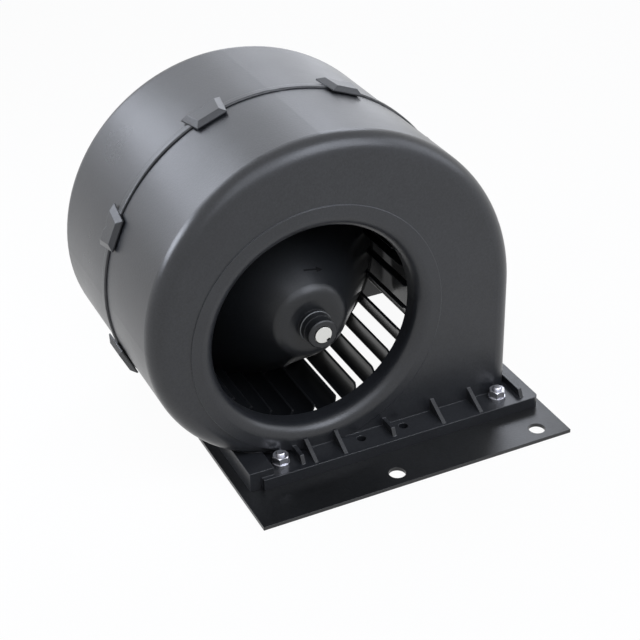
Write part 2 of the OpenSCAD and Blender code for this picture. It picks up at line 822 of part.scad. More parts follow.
// Solid outline of the cone with its rounded nose, radius against depth.
module cone_outline() {
    polygon([[0, nose_y], [nose_c_r, nose_y], [nose_t_r, nose_t_y], [cone_foot_r, disc_y],
        [cone_foot_r, disc_y + disc_t], [0, disc_y + disc_t]]);
    intersection() {
        translate([nose_c_r, nose_c_y]) circle(r = nose_round, $fn = SMALL_FN);
        box2(nose_c_r, nose_y - CUT, nose_c_r + nose_round + CUT, nose_c_y);
    }
}

// Section of the wheel without its blades, radius against depth.
module wheel_section() {
    difference() {
        union() {
            difference() {
                cone_outline();
                translate([0, cone_wall]) cone_outline();
            }
            box2(0, nose_y, hub_r, hub_end);
            box2(0, tip_y, collar_r, nose_y + CUT);
            polygon([[0, -hub_out], [tip_r - tip_bevel, -hub_out], [tip_r, tip_bevel - hub_out],
                [tip_r, tip_y + CUT], [0, tip_y + CUT]]);
        }
        box2(-CUT, -hub_out - CUT, shaft_r + tip_gap, sleeve_front + CUT);
        box2(-CUT, sleeve_front, sleeve_r + seat_gap, disc_y + 2 * disc_t);
        box2(collar_r - clip_d / 2, clip_y - clip_d / 2, collar_r + CUT, clip_y + clip_d / 2);
    }
    box2(cone_foot_r - CUT, disc_y, blade_out - disc_back, disc_y + disc_t);
    box2(end_ring_in, blade_y - end_ring_over, wheel_r, blade_y - end_ring_over + end_ring_w);
    box2(end_ring_in, blade_end + end_ring_over - end_ring_w, wheel_r, blade_end + end_ring_over);
}

module fan_wheel() {
    color("#232427") on_axis() {
        turned() wheel_section();
        for (i = [0:blade_n - 1]) {
            slab(blade_y, blade_end) rotate(blade_phase + i * 360 / blade_n) blade_outline();
        }
    }
}

module hub_clip() {
    color("#c9ccd0") on_axis() turned()
        translate([collar_r + seat_gap, clip_y]) circle(d = clip_d - 2 * seat_gap, $fn = SMALL_FN);
}

module hub_sleeve() {
    color("#9a9c9e") ring(sleeve_in, sleeve_r, sleeve_front, hub_end);
}

module shaft() {
    front = -hub_out - shaft_over;
    color("#d5d7da") on_axis() difference() {
        rod(front, shaft_rear, shaft_r);
        rotate([0, -notch_angle, 0]) translate([shaft_r - notch_depth, front - CUT, -notch_w / 2])
            cube([shaft_d, notch_l + CUT, notch_w]);
    }
}

module motor_can() {
    boss_front = can_front - boss_l;
    color("#8f9295") on_axis() turned() difference() {
        union() {
            box2(0, can_front, can_r, can_rear);
            box2(0, boss_front, bearing_r + seat_gap + boss_wall, can_front + CUT);
        }
        box2(-CUT, can_front + can_t, can_in, can_rear + CUT);
        box2(-CUT, front_bearing_y, bearing_r + seat_gap, can_front + can_t + CUT);
        box2(-CUT, boss_front - CUT, shaft_r + CUT, can_front + CUT);
    }
}

module front_bearing() {
    color("#b08d4f") ring(shaft_r + run_gap, bearing_r, front_bearing_y, front_bearing_y + bearing_l);
}

module rear_bearing() {
    color("#b08d4f") ring(shaft_r + run_gap, bearing_r, rear_bearing_y, rear_bearing_y + bearing_l);
}

module magnets() {
    color("#4a4a4d") on_axis() for (a = [0, 180]) {
        turned_part(a - magnet_arc / 2, a + magnet_arc / 2)
            box2(magnet_in, magnet_y, can_in - seat_gap, magnet_y + magnet_l);
    }
}

module end_cap() {
    color("#2e2f31") difference() {
        on_axis() turned() difference() {
            union() {
                box2(0, can_rear, can_r, cap_rear);
                box2(spigot_in, spigot_front, spigot_r, can_rear + CUT);
                box2(0, rear_bearing_y, cap_boss_r, cap_boss_rear);
            }
            box2(-CUT, rear_bearing_y - CUT, bearing_r + seat_gap, rear_bearing_y + bearing_l);
        }
        terminal_blades(seat_gap, can_rear - CUT, cap_rear + CUT);
        around(motor_screw_r, motor_screw_angles)
            rod(cap_rear - motor_screw_l, cap_rear + CUT, motor_screw_d / 2 + seat_gap);
    }
}

// The pair of terminal blades from depth y0 to y1, grown by gap on their sides.
module terminal_blades(gap, y0, y1) {
    half = [terminal_w / 2 + gap, terminal_t / 2 + gap];
    for (x = [-terminal_x, terminal_x]) {
        on_axis() box3([x - half[0], y0, terminal_z - half[1]], [x + half[0], y1, terminal_z + half[1]]);
    }
}

module terminals() {
    color("#c8b26a") terminal_blades(0, spigot_front, cap_rear + terminal_l);
}

module terminal_socket() {
    inner = [socket_w / 2, socket_h / 2];
    outer = [socket_w / 2 + socket_t, socket_h / 2 + socket_t];
    color("#1f2022") difference() {
        on_axis() box3([-outer[0], cap_rear, terminal_z - outer[1]],
            [outer[0], cap_rear + socket_l, terminal_z + outer[1]]);
        on_axis() box3([-inner[0], cap_rear + socket_t, terminal_z - inner[1]],
            [inner[0], cap_rear + socket_l + CUT, terminal_z + inner[1]]);
        terminal_blades(seat_gap, cap_rear - CUT, cap_rear + socket_l);
    }
}

module brush_card() {
    color("#7a5b34") ring(comm_r + card_gap, spigot_r, card_front, spigot_front);
}

module brush_holders() {
    holder_front = card_front - holder_h;
    inner_w = holder_w - 2 * holder_t;
    color("#b59a4c") for (a = [0, 180]) {
        on_axis() rotate([0, a, 0]) difference() {
            box3([-holder_w / 2, holder_front, holder_in], [holder_w / 2, card_front, spring_out + holder_t]);
            box3([-inner_w / 2, holder_front + holder_t, holder_in - CUT],
                [inner_w / 2, card_front - holder_t, spring_out]);
        }
    }
}

// One carbon brush above the axis, its face shaped to the commutator.
module brush() {
    difference() {
        box3([-brush_w / 2, brush_mid - brush_h / 2, brush_in - CUT],
            [brush_w / 2, brush_mid + brush_h / 2, brush_out]);
        rod(brush_mid - brush_h, brush_mid + brush_h, brush_in);
    }
}

// One brush spring above the axis, its turns drawn as joined rings between brush and holder.
module brush_spring() {
    pitch = (spring_l - spring_wire) / (spring_n - 1);
    core = (spring_d - spring_wire) / 2;
    tie = spring_wire / 6;
    translate([0, brush_mid, brush_out]) rotate_extrude($fn = SMALL_FN) {
        for (i = [0:spring_n - 1]) {
            translate([core, spring_wire / 2 + i * pitch]) circle(d = spring_wire, $fn = 16);
        }
        box2(core - tie, spring_wire / 2, core + tie, spring_l - spring_wire / 2);
    }
}

module brush_upper() {
    color("#303033") on_axis() brush();
}

module brush_lower() {
    color("#303033") on_axis() rotate([0, 180, 0]) brush();
}

module spring_upper() {
    color("#b9bcc0") on_axis() brush_spring();
}

module spring_lower() {
    color("#b9bcc0") on_axis() rotate([0, 180, 0]) brush_spring();
}

module armature_core() {
    color("#77797c") on_axis() difference() {
        turned() box2(sleeve_in, armature_front, armature_r, armature_rear);
        for (i = [0:slot_n - 1]) {
            rotate([0, i * 360 / slot_n, 0])
                translate([armature_r - slot_depth, armature_front - CUT, -slot_w / 2])
                    cube([armature_r, armature_l + 2 * CUT, slot_w]);
        }
    }
}

module windings() {
    winding_r = armature_r - winding_back;
    color("#a5612f") {
        ring(sleeve_in, winding_r, armature_front - winding_l, armature_front);
        ring(sleeve_in, winding_r, armature_rear, armature_rear + winding_l);
    }
}

module commutator() {
    color("#b87340") on_axis() difference() {
        turned() box2(sleeve_in, comm_front, comm_r, comm_front + comm_l);
        for (i = [0:slot_n - 1]) {
            rotate([0, i * 360 / slot_n, 0]) translate([comm_r - bar_gap, comm_front - CUT, -bar_gap / 2])
                cube([CUT + bar_gap, comm_l + 2 * CUT, bar_gap]);
        }
    }
}

module thrust_washers() {
    color("#d9d4c4") {
        ring(sleeve_in, shaft_r + thrust_rim, front_thrust_y, front_thrust_y + thrust_t);
        ring(sleeve_in, shaft_r + thrust_rim, rear_thrust_y, rear_thrust_y + thrust_t);
    }
}

// Outline of the bracket seen from the front.
module bracket_outline() {
    window = [socket_w / 2 + socket_t + window_gap, socket_h / 2 + socket_t + window_gap];
    difference() {
        union() {
            circle(r = can_r + bracket_over);
            for (a = arm_angles) {
                rotate(a) box2(0, -arm_w / 2, arm_r, arm_w / 2);
                rotate(a) translate([arm_r, 0]) circle(d = arm_w, $fn = SMALL_FN);
            }
        }
        circle(r = cap_boss_r + window_gap);
        box2(-window[0], terminal_z - window[1], window[0], terminal_z + window[1]);
        for (a = arm_angles) {
            rotate(a) translate([arm_r, 0]) circle(r = arm_screw_d / 2 + stud_gap, $fn = SMALL_FN);
        }
        for (a = motor_screw_angles) {
            rotate(a) translate([motor_screw_r, 0]) circle(r = motor_screw_d / 2 + stud_gap, $fn = SMALL_FN);
        }
    }
}

module motor_bracket() {
    color("#1d1e20") on_axis() slab(cap_rear, bracket_rear) bracket_outline();
}

module isolator_pads() {
    color("#161617") around(arm_r, arm_angles) difference() {
        rod(housing_d, cap_rear, pad_r);
        rod(housing_d - CUT, cap_rear + CUT, arm_screw_d / 2 + stud_gap);
    }
}

// A cap screw with a hexagon socket, its head resting on the bracket and its tip at depth tip.
module cap_screw(d, tip) {
    head_r = 0.85 * d;
    head_h = 0.6 * d;
    rod(tip, bracket_rear + EPS, d / 2);
    difference() {
        rod(bracket_rear, bracket_rear + head_h, head_r);
        translate([0, bracket_rear + head_h / 2, 0]) rotate([-90, 0, 0]) cylinder(h = head_h, d = d, $fn = 6);
    }
}

module bracket_screws() {
    color("#c9ccd0") around(arm_r, arm_angles) cap_screw(arm_screw_d, housing_d - arm_screw_l);
}

module motor_screws() {
    color("#c9ccd0") around(motor_screw_r, motor_screw_angles)
        cap_screw(motor_screw_d, cap_rear - motor_screw_l);
}

base_plate();
plate_studs();
stud_washers();
stud_nuts();
front_shell();
rear_shell();
motor_bracket();
isolator_pads();
bracket_screws();
motor_screws();
motor_can();
magnets();
end_cap();
front_bearing();
rear_bearing();
brush_card();
brush_holders();
terminals();
terminal_socket();
shaft();
hub_sleeve();
fan_wheel();
hub_clip();
armature_core();
windings();
commutator();
thrust_washers();
brush_upper();
brush_lower();
spring_upper();
spring_lower();
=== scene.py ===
"""Studio scene for a black double-inlet centrifugal blower on a steel mounting plate.

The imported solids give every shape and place. This script dresses them with moulded plastic, paint,
plating and motor finishes, adds the turning arrow on the wheel and the threads on the plate studs,
and sets the floor, the soft lights and the camera.
"""

from __future__ import annotations

import logging
import math
from collections.abc import Callable
from dataclasses import dataclass, field
from enum import Enum

import bmesh
import bpy
from mathutils import Matrix, Quaternion, Vector

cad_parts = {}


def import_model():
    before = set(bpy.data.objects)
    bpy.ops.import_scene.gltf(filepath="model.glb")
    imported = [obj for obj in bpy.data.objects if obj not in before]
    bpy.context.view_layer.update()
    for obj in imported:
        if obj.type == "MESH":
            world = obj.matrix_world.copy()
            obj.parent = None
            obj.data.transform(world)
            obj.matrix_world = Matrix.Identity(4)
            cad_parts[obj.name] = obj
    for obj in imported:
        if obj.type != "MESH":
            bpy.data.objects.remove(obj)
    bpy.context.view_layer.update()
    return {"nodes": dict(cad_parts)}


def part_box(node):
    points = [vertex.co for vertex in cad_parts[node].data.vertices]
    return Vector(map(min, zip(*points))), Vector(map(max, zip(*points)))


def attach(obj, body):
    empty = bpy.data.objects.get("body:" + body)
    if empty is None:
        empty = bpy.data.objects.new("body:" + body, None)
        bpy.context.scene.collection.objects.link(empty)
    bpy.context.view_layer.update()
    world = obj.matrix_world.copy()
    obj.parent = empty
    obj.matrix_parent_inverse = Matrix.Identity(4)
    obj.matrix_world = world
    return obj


LOG = logging.getLogger("blower")

# Sizes are in metres
MM = 0.001
FAN_AXIS = Vector((-69.0 * MM, 0.0, 77.6 * MM))
MERGE_GAP = 0.001 * MM
PICK_SLACK = 0.01 * MM

# Watts per square metre of lamp that make its face as bright as white
WATTS_PER_WHITE = 4.0
WHITE = (1.0, 1.0, 1.0, 1.0)

Triple = tuple[float, float, float]
Colour = Triple
Band = tuple[float, float]
Solids = dict[str, bpy.types.Object]
Values = dict[str | int, float | tuple[float, ...]]
Link = tuple[bpy.types.NodeSocket, bpy.types.NodeSocket]
NewGroup = tuple[bpy.types.ShaderNodeTree, bpy.types.Node, bpy.types.Node]

# Socket types of the shared groups
PLACE = {"Vector": "NodeSocketVector"}
PLACE_AND_SCALE = {**PLACE, "Scale": "NodeSocketFloat"}
MASK = {"Mask": "NodeSocketFloat"}


def bare_tree(owner: bpy.types.Material | bpy.types.World) -> bpy.types.NodeTree:
    """Give a material or a world an empty node tree.

    Args:
        owner: the material or world.

    Returns:
        The empty tree.
    """
    owner.use_nodes = True
    owner.node_tree.nodes.clear()
    return owner.node_tree


def add_node(tree: bpy.types.NodeTree, kind: str, values: Values | None = None,
             operation: str | None = None) -> bpy.types.Node:
    """Add a shader node with fixed values on some of its inputs.

    Args:
        tree: the nodes to add to.
        kind: the node's type, as it follows "ShaderNode".
        values: input name or number to its fixed value.
        operation: what a math node does.

    Returns:
        The new node.
    """
    node = tree.nodes.new(f"ShaderNode{kind}")
    if operation is not None:
        node.operation = operation
    for label, value in (values or {}).items():
        node.inputs[label].default_value = value
    return node


def wire(tree: bpy.types.NodeTree, *links: Link) -> None:
    """Link pairs of an output and an input."""
    for source, target in links:
        tree.links.new(source, target)


class Texture(Enum):
    """Surface relief of a finish, named after the shared group that makes it."""

    MOULDED = "grain"
    PAINTED = "peel"
    SINTERED = "pores"
    ROLLED = "streaks"
    TURNED = "rings"


@dataclass
class GroupKit:
    """Shader node groups that several finishes share, each built once.

    Attributes:
        relief_roughness: weight of the finer layers in a relief's noise.
        streak_stretch: scale of the streaks along X, Y and Z, as a share of the grain.
        cloud_scale: scale of the tone's broad clouds, per metre.
        speckle_share: share of the speckle in the tone, beside the clouds.
        tone_band: tone that becomes 0 and tone that becomes 1.
        patch_scale: scale of the rubbed patches, per metre.
        scratch_scale: scale of the scratches along X, Y and Z, per metre.
        scratch_turn: turn of the scratches about X, Y and Z in radians.
        scratch_band: scratch noise that becomes 0 and that becomes 1.
        scratch_weight: weight of the scratches on top of the patches.
        edge_band: cosine of a rounded normal's lean that becomes 0 and that becomes 1.
        edge_rays: how many rays look for an edge.
    """

    relief_roughness: float = 0.6
    streak_stretch: Triple = (1.0, 0.04, 1.0)
    cloud_scale: float = 40.0
    speckle_share: float = 0.6
    tone_band: Band = (0.35, 0.65)
    patch_scale: float = 18.0
    scratch_scale: Triple = (40.0, 900.0, 300.0)
    scratch_turn: Triple = (0.3, 0.2, 0.6)
    scratch_band: Band = (0.62, 0.74)
    scratch_weight: float = 0.15
    edge_band: Band = (0.985, 0.8)
    edge_rays: int = 6
    _groups: dict[str, bpy.types.ShaderNodeTree] = field(default_factory=dict)

    def get(self, name: str) -> bpy.types.ShaderNodeTree:
        """Give a group by name, building it on first use.

        Args:
            name: a texture's value, or "mottle", "marks" or "edges".

        Returns:
            The shader node group.
        """
        if name not in self._groups:
            self._groups[name] = getattr(self, f"_build_{name}")()
        return self._groups[name]

    @staticmethod
    def _new(name: str, inputs: dict[str, str], outputs: dict[str, str]) -> NewGroup:
        """Make an empty group with named sockets.

        Args:
            name: the group's name.
            inputs: socket name to socket type.
            outputs: socket name to socket type.

        Returns:
            The new group, its input node and its output node.
        """
        tree = bpy.data.node_groups.new(name, "ShaderNodeTree")
        for side, sockets in (("INPUT", inputs), ("OUTPUT", outputs)):
            for label, kind in sockets.items():
                tree.interface.new_socket(label, in_out=side, socket_type=kind)
        return tree, tree.nodes.new("NodeGroupInput"), tree.nodes.new("NodeGroupOutput")

    def _relief(self, name: str) -> NewGroup:
        """Make an empty group that turns a place and a scale into a height."""
        return self._new(name, PLACE_AND_SCALE, {"Height": "NodeSocketFloat"})

    def _noise_relief(self, name: str, detail: float,
                      stretch: Triple = (1.0, 1.0, 1.0)) -> bpy.types.ShaderNodeTree:
        """Make a relief group from one noise.

        Args:
            name: the group's name.
            detail: how many finer layers the noise has.
            stretch: scale of the noise along X, Y and Z.

        Returns:
            The relief group.
        """
        tree, start, end = self._relief(name)
        mapping = add_node(tree, "Mapping", {"Scale": stretch})
        noise = add_node(tree, "TexNoise", {"Detail": detail, "Roughness": self.relief_roughness})
        wire(tree,
             (start.outputs["Vector"], mapping.inputs["Vector"]),
             (mapping.outputs["Vector"], noise.inputs["Vector"]),
             (start.outputs["Scale"], noise.inputs["Scale"]),
             (noise.outputs["Fac"], end.inputs["Height"]))
        return tree

    def _build_grain(self) -> bpy.types.ShaderNodeTree:
        """Fine even grain of a spark-eroded mould."""
        return self._noise_relief("mould_grain", detail=3.0)

    def _build_peel(self) -> bpy.types.ShaderNodeTree:
        """Orange peel of sprayed paint, coarser than the mould's grain."""
        return self._noise_relief("paint_peel", detail=1.5)

    def _build_streaks(self) -> bpy.types.ShaderNodeTree:
        """Fine streaks along Y, as rolling and drawing leave them."""
        return self._noise_relief("rolled_streaks", detail=3.0, stretch=self.streak_stretch)

    def _build_pores(self) -> bpy.types.ShaderNodeTree:
        """Small open pores of a sintered or pressed powder.

        Returns:
            The relief group.
        """
        tree, start, end = self._relief("powder_pores")
        cells = add_node(tree, "TexVoronoi")
        wire(tree,
             (start.outputs["Vector"], cells.inputs["Vector"]),
             (start.outputs["Scale"], cells.inputs["Scale"]),
             (cells.outputs["Distance"], end.inputs["Height"]))
        return tree

    def _build_rings(self) -> bpy.types.ShaderNodeTree:
        """Fine tool rings about the fan axis.

        Returns:
            The relief group, whose scale is in radians per metre.
        """
        tree, start, end = self._relief("tool_rings")
        centred = add_node(tree, "Mapping", {"Location": tuple(-FAN_AXIS)})
        flat = add_node(tree, "VectorMath", {1: (1.0, 0.0, 1.0)}, "MULTIPLY")
        length = add_node(tree, "VectorMath", operation="LENGTH")
        turns = add_node(tree, "Math", operation="MULTIPLY")
        wave = add_node(tree, "Math", operation="SINE")
        wire(tree,
             (start.outputs["Vector"], centred.inputs["Vector"]),
             (centred.outputs["Vector"], flat.inputs[0]),
             (flat.outputs["Vector"], length.inputs[0]),
             (length.outputs["Value"], turns.inputs[0]),
             (start.outputs["Scale"], turns.inputs[1]),
             (turns.outputs["Value"], wave.inputs[0]),
             (wave.outputs["Value"], end.inputs["Height"]))
        return tree

    def _build_mottle(self) -> bpy.types.ShaderNodeTree:
        """Uneven tone, from broad clouds down to the speckle of the grain.

        Returns:
            A group that turns a place and the speckle's scale into a mask.
        """
        tree, start, end = self._new("tone_mottle", PLACE_AND_SCALE, MASK)
        clouds = add_node(tree, "TexNoise", {"Scale": self.cloud_scale, "Detail": 4.0})
        speckle = add_node(tree, "TexNoise", {"Detail": 1.0})
        blend = add_node(tree, "Mix", {"Factor": self.speckle_share})
        spread = self._add_band(tree, self.tone_band)
        wire(tree,
             (start.outputs["Vector"], clouds.inputs["Vector"]),
             (start.outputs["Vector"], speckle.inputs["Vector"]),
             (start.outputs["Scale"], speckle.inputs["Scale"]),
             (clouds.outputs["Fac"], blend.inputs["A"]),
             (speckle.outputs["Fac"], blend.inputs["B"]),
             (blend.outputs["Result"], spread.inputs["Value"]),
             (spread.outputs["Result"], end.inputs["Mask"]))
        return tree

    def _build_marks(self) -> bpy.types.ShaderNodeTree:
        """Faint rubbed patches and fine scratches from handling.

        Returns:
            A group that turns a place into a mask from 0, clean, to 1, rubbed.
        """
        tree, start, end = self._new("handling_marks", PLACE, MASK)
        patches = add_node(tree, "TexNoise", {"Scale": self.patch_scale, "Detail": 6.0})
        stretch = add_node(tree, "Mapping",
                           {"Scale": self.scratch_scale, "Rotation": self.scratch_turn})
        scratches = add_node(tree, "TexNoise", {"Scale": 1.0, "Detail": 2.0})
        thin = self._add_band(tree, self.scratch_band)
        blend = add_node(tree, "Math", {1: self.scratch_weight}, "MULTIPLY_ADD")
        wire(tree,
             (start.outputs["Vector"], patches.inputs["Vector"]),
             (start.outputs["Vector"], stretch.inputs["Vector"]),
             (stretch.outputs["Vector"], scratches.inputs["Vector"]),
             (scratches.outputs["Fac"], thin.inputs["Value"]),
             (thin.outputs["Result"], blend.inputs[0]),
             (patches.outputs["Fac"], blend.inputs[2]),
             (blend.outputs["Value"], end.inputs["Mask"]))
        return tree

    def _build_edges(self) -> bpy.types.ShaderNodeTree:
        """Small rounding of sharp edges, as moulding and paint leave them.

        Returns:
            A group that turns a radius into a rounded normal and a mask of the edges.
        """
        tree, start, end = self._new("edge_rounding", {"Radius": "NodeSocketFloat"},
                                     {"Normal": "NodeSocketVector", **MASK})
        bevel = add_node(tree, "Bevel")
        bevel.samples = self.edge_rays
        surface = add_node(tree, "NewGeometry")
        lean = add_node(tree, "VectorMath", operation="DOT_PRODUCT")
        mask = self._add_band(tree, self.edge_band)
        wire(tree,
             (start.outputs["Radius"], bevel.inputs["Radius"]),
             (bevel.outputs["Normal"], end.inputs["Normal"]),
             (bevel.outputs["Normal"], lean.inputs[0]),
             (surface.outputs["Normal"], lean.inputs[1]),
             (lean.outputs["Value"], mask.inputs["Value"]),
             (mask.outputs["Result"], end.inputs["Mask"]))
        return tree

    @staticmethod
    def _add_band(tree: bpy.types.NodeTree, band: Band) -> bpy.types.Node:
        """Add a node that spreads a band of values from 0 to 1."""
        return add_node(tree, "MapRange", {"From Min": band[0], "From Max": band[1]})


@dataclass(frozen=True)
class Finish:
    """One finish, from its colour to its relief.

    Attributes:
        name: the material's name.
        colour: base colour, linear.
        tint: colour of the mottle, linear.
        roughness: roughness where clean and where rubbed.
        texture: the kind of relief.
        grain: scale of the relief, per metre.
        relief: height of the relief in metres.
        rounding: radius of rounded edges in metres.
        edge: colour painted on the edges, linear, partly as wear and partly as a painted highlight,
            or None where they keep the base colour.
        metallic: 1 for bare metal.
        specular: specular level of a dielectric.
        marks_band: handling marks that count as clean and as rubbed.
    """

    name: str
    colour: Colour
    tint: Colour
    roughness: Band
    texture: Texture = Texture.MOULDED
    grain: float = 1500.0
    relief: float = 0.02 * MM
    rounding: float = 0.3 * MM
    edge: Colour | None = None
    metallic: float = 0.0
    specular: float = 0.5
    marks_band: Band = (0.3, 0.8)

    def build(self, kit: GroupKit) -> bpy.types.Material:
        """Build the material from the shared groups.

        Args:
            kit: the shared node groups.

        Returns:
            The finished material.
        """
        material = bpy.data.materials.new(self.name)
        tree = bare_tree(material)
        out = add_node(tree, "OutputMaterial")
        shader = add_node(tree, "BsdfPrincipled",
                          {"Metallic": self.metallic, "Specular IOR Level": self.specular})
        place = add_node(tree, "TexCoord").outputs["Object"]
        edges = self._group(tree, kit, "edges", {"Radius": self.rounding})
        marks = self._group(tree, kit, "marks", {}, place)
        mottle = self._group(tree, kit, "mottle", {"Scale": self.grain}, place)
        relief = self._group(tree, kit, self.texture.value, {"Scale": self.grain}, place)

        tone = self._mix(tree, self.colour, self.tint, mottle.outputs["Mask"])
        # Edges are painted lighter, partly as wear and partly as a painted highlight where rounded
        # edges would catch the light.
        if self.edge is not None:
            rubbed = self._mix(tree, self.colour, self.edge, edges.outputs["Mask"])
            tree.links.new(tone.outputs["Result"], rubbed.inputs["A"])
            tone = rubbed

        gloss = add_node(tree, "MapRange", {
            "From Min": self.marks_band[0], "From Max": self.marks_band[1],
            "To Min": self.roughness[0], "To Max": self.roughness[1]})
        bump = add_node(tree, "Bump", {"Strength": 1.0, "Distance": self.relief})
        wire(tree,
             (tone.outputs["Result"], shader.inputs["Base Color"]),
             (marks.outputs["Mask"], gloss.inputs["Value"]),
             (gloss.outputs["Result"], shader.inputs["Roughness"]),
             (relief.outputs["Height"], bump.inputs["Height"]),
             (edges.outputs["Normal"], bump.inputs["Normal"]),
             (bump.outputs["Normal"], shader.inputs["Normal"]),
             (shader.outputs["BSDF"], out.inputs["Surface"]))
        return material

    @staticmethod
    def _group(tree: bpy.types.NodeTree, kit: GroupKit, name: str, values: dict[str, float],
               place: bpy.types.NodeSocket | None = None) -> bpy.types.Node:
        """Put a shared group in the material.

        Args:
            tree: the material's nodes.
            kit: the shared node groups.
            values: input name to number.
            place: the socket with the place on the surface, for a group that needs it.

        Returns:
            The group node.
        """
        node = add_node(tree, "Group")
        node.node_tree = kit.get(name)
        for label, value in values.items():
            node.inputs[label].default_value = value
        if place is not None:
            tree.links.new(place, node.inputs["Vector"])
        return node

    @staticmethod
    def _mix(tree: bpy.types.NodeTree, first: Colour, second: Colour,
             mask: bpy.types.NodeSocket) -> bpy.types.Node:
        """Mix two colours by a mask.

        Args:
            tree: the material's nodes.
            first: the colour where the mask is 0.
            second: the colour where the mask is 1.
            mask: the socket with the mask.

        Returns:
            The mix node.
        """
        mix = add_node(tree, "Mix")
        mix.data_type = "RGBA"
        mix.inputs["A"].default_value = (*first, 1.0)
        mix.inputs["B"].default_value = (*second, 1.0)
        tree.links.new(mask, mix.inputs["Factor"])
        return mix


# Finishes of the outside
# The shell's edges are painted lighter, partly as wear and partly as a painted highlight.
SHELL_PLASTIC = Finish("shell_plastic", (0.016, 0.0169, 0.0192), (0.024, 0.0254, 0.0282),
                       (0.27, 0.36), grain=1000.0, relief=0.06 * MM, rounding=0.6 * MM,
                       edge=(0.055, 0.058, 0.064))
WHEEL_PLASTIC = Finish("wheel_plastic", (0.009, 0.0098, 0.011), (0.014, 0.015, 0.0165), (0.3, 0.38),
                       grain=1100.0, relief=0.015 * MM, specular=0.4)
PLATE_PAINT = Finish("plate_paint", (0.007, 0.0074, 0.0078), (0.014, 0.0145, 0.015), (0.28, 0.38),
                     Texture.PAINTED, grain=900.0, relief=0.05 * MM, rounding=0.4 * MM)
BRIGHT_ZINC = Finish("bright_zinc", (0.6, 0.6, 0.63), (0.48, 0.48, 0.52), (0.26, 0.4),
                     Texture.ROLLED, grain=1800.0, relief=0.012 * MM, rounding=0.25 * MM,
                     metallic=1.0)
# Zinc darkened all over as painted shade: the hub clip in its groove gets a dark colour in place of
# the shade and dark reflections there.
ZINC_PAINTED_SHADE = Finish("zinc_painted_shade", (0.16, 0.165, 0.17), (0.11, 0.115, 0.12), (0.42, 0.55),
                   Texture.ROLLED, grain=2400.0, relief=0.01 * MM, metallic=1.0)
GROUND_STEEL = Finish("ground_steel", (0.78, 0.78, 0.76), (0.66, 0.66, 0.64), (0.22, 0.38),
                      Texture.TURNED, grain=14000.0, relief=0.006 * MM, metallic=1.0)
ARROW_INK = Finish("arrow_ink", (0.004, 0.004, 0.0045), (0.007, 0.007, 0.0075), (0.6, 0.7),
                   rounding=0.05 * MM, specular=0.1)

# Finishes of the motor
# The cap's edges are painted lighter, partly as wear and partly as a painted highlight.
CAP_PLASTIC = Finish("cap_plastic", (0.020, 0.020, 0.022), (0.030, 0.030, 0.032), (0.4, 0.5),
                     grain=1800.0, rounding=0.4 * MM, edge=(0.045, 0.045, 0.048))
CAN_STEEL = Finish("can_steel", (0.52, 0.53, 0.54), (0.43, 0.44, 0.46), (0.26, 0.4),
                   Texture.ROLLED, grain=1600.0, relief=0.012 * MM, rounding=0.6 * MM, metallic=1.0)
CORE_STEEL = Finish("core_steel", (0.3, 0.31, 0.32), (0.22, 0.23, 0.24), (0.4, 0.55),
                    Texture.ROLLED, grain=2400.0, metallic=1.0)
FERRITE = Finish("ferrite", (0.06, 0.06, 0.063), (0.09, 0.088, 0.086), (0.6, 0.75),
                 Texture.SINTERED, grain=3000.0, relief=0.04 * MM)
BRONZE = Finish("bronze", (0.5, 0.36, 0.18), (0.4, 0.28, 0.14), (0.36, 0.5),
                Texture.SINTERED, grain=3500.0, relief=0.03 * MM, metallic=1.0)
BRASS = Finish("brass", (0.74, 0.58, 0.28), (0.64, 0.49, 0.22), (0.2, 0.36),
               Texture.ROLLED, relief=0.01 * MM, metallic=1.0)
COPPER = Finish("copper", (0.62, 0.27, 0.12), (0.5, 0.2, 0.09), (0.26, 0.42),
                Texture.TURNED, grain=9000.0, metallic=1.0)
LAMINATE = Finish("laminate", (0.27, 0.17, 0.08), (0.34, 0.22, 0.11), (0.5, 0.6),
                  Texture.PAINTED, grain=900.0)
NYLON = Finish("nylon", (0.66, 0.64, 0.57), (0.58, 0.56, 0.5), (0.42, 0.5))
CARBON = Finish("carbon", (0.03, 0.03, 0.032), (0.05, 0.05, 0.052), (0.5, 0.65),
                Texture.SINTERED, grain=4000.0, relief=0.03 * MM)
RUBBER = Finish("rubber", (0.016, 0.016, 0.016), (0.024, 0.024, 0.024), (0.68, 0.8),
                grain=2000.0, relief=0.03 * MM, rounding=0.6 * MM)


@dataclass
class MaterialShelf:
    """Materials by finish, each built once from one set of shared groups."""

    _kit: GroupKit = field(default_factory=GroupKit)
    _built: dict[str, bpy.types.Material] = field(default_factory=dict)

    def get(self, finish: Finish) -> bpy.types.Material:
        """Give the material of a finish, building it on first use.

        Args:
            finish: the finish.

        Returns:
            Its material.
        """
        if finish.name not in self._built:
            self._built[finish.name] = finish.build(self._kit)
        return self._built[finish.name]


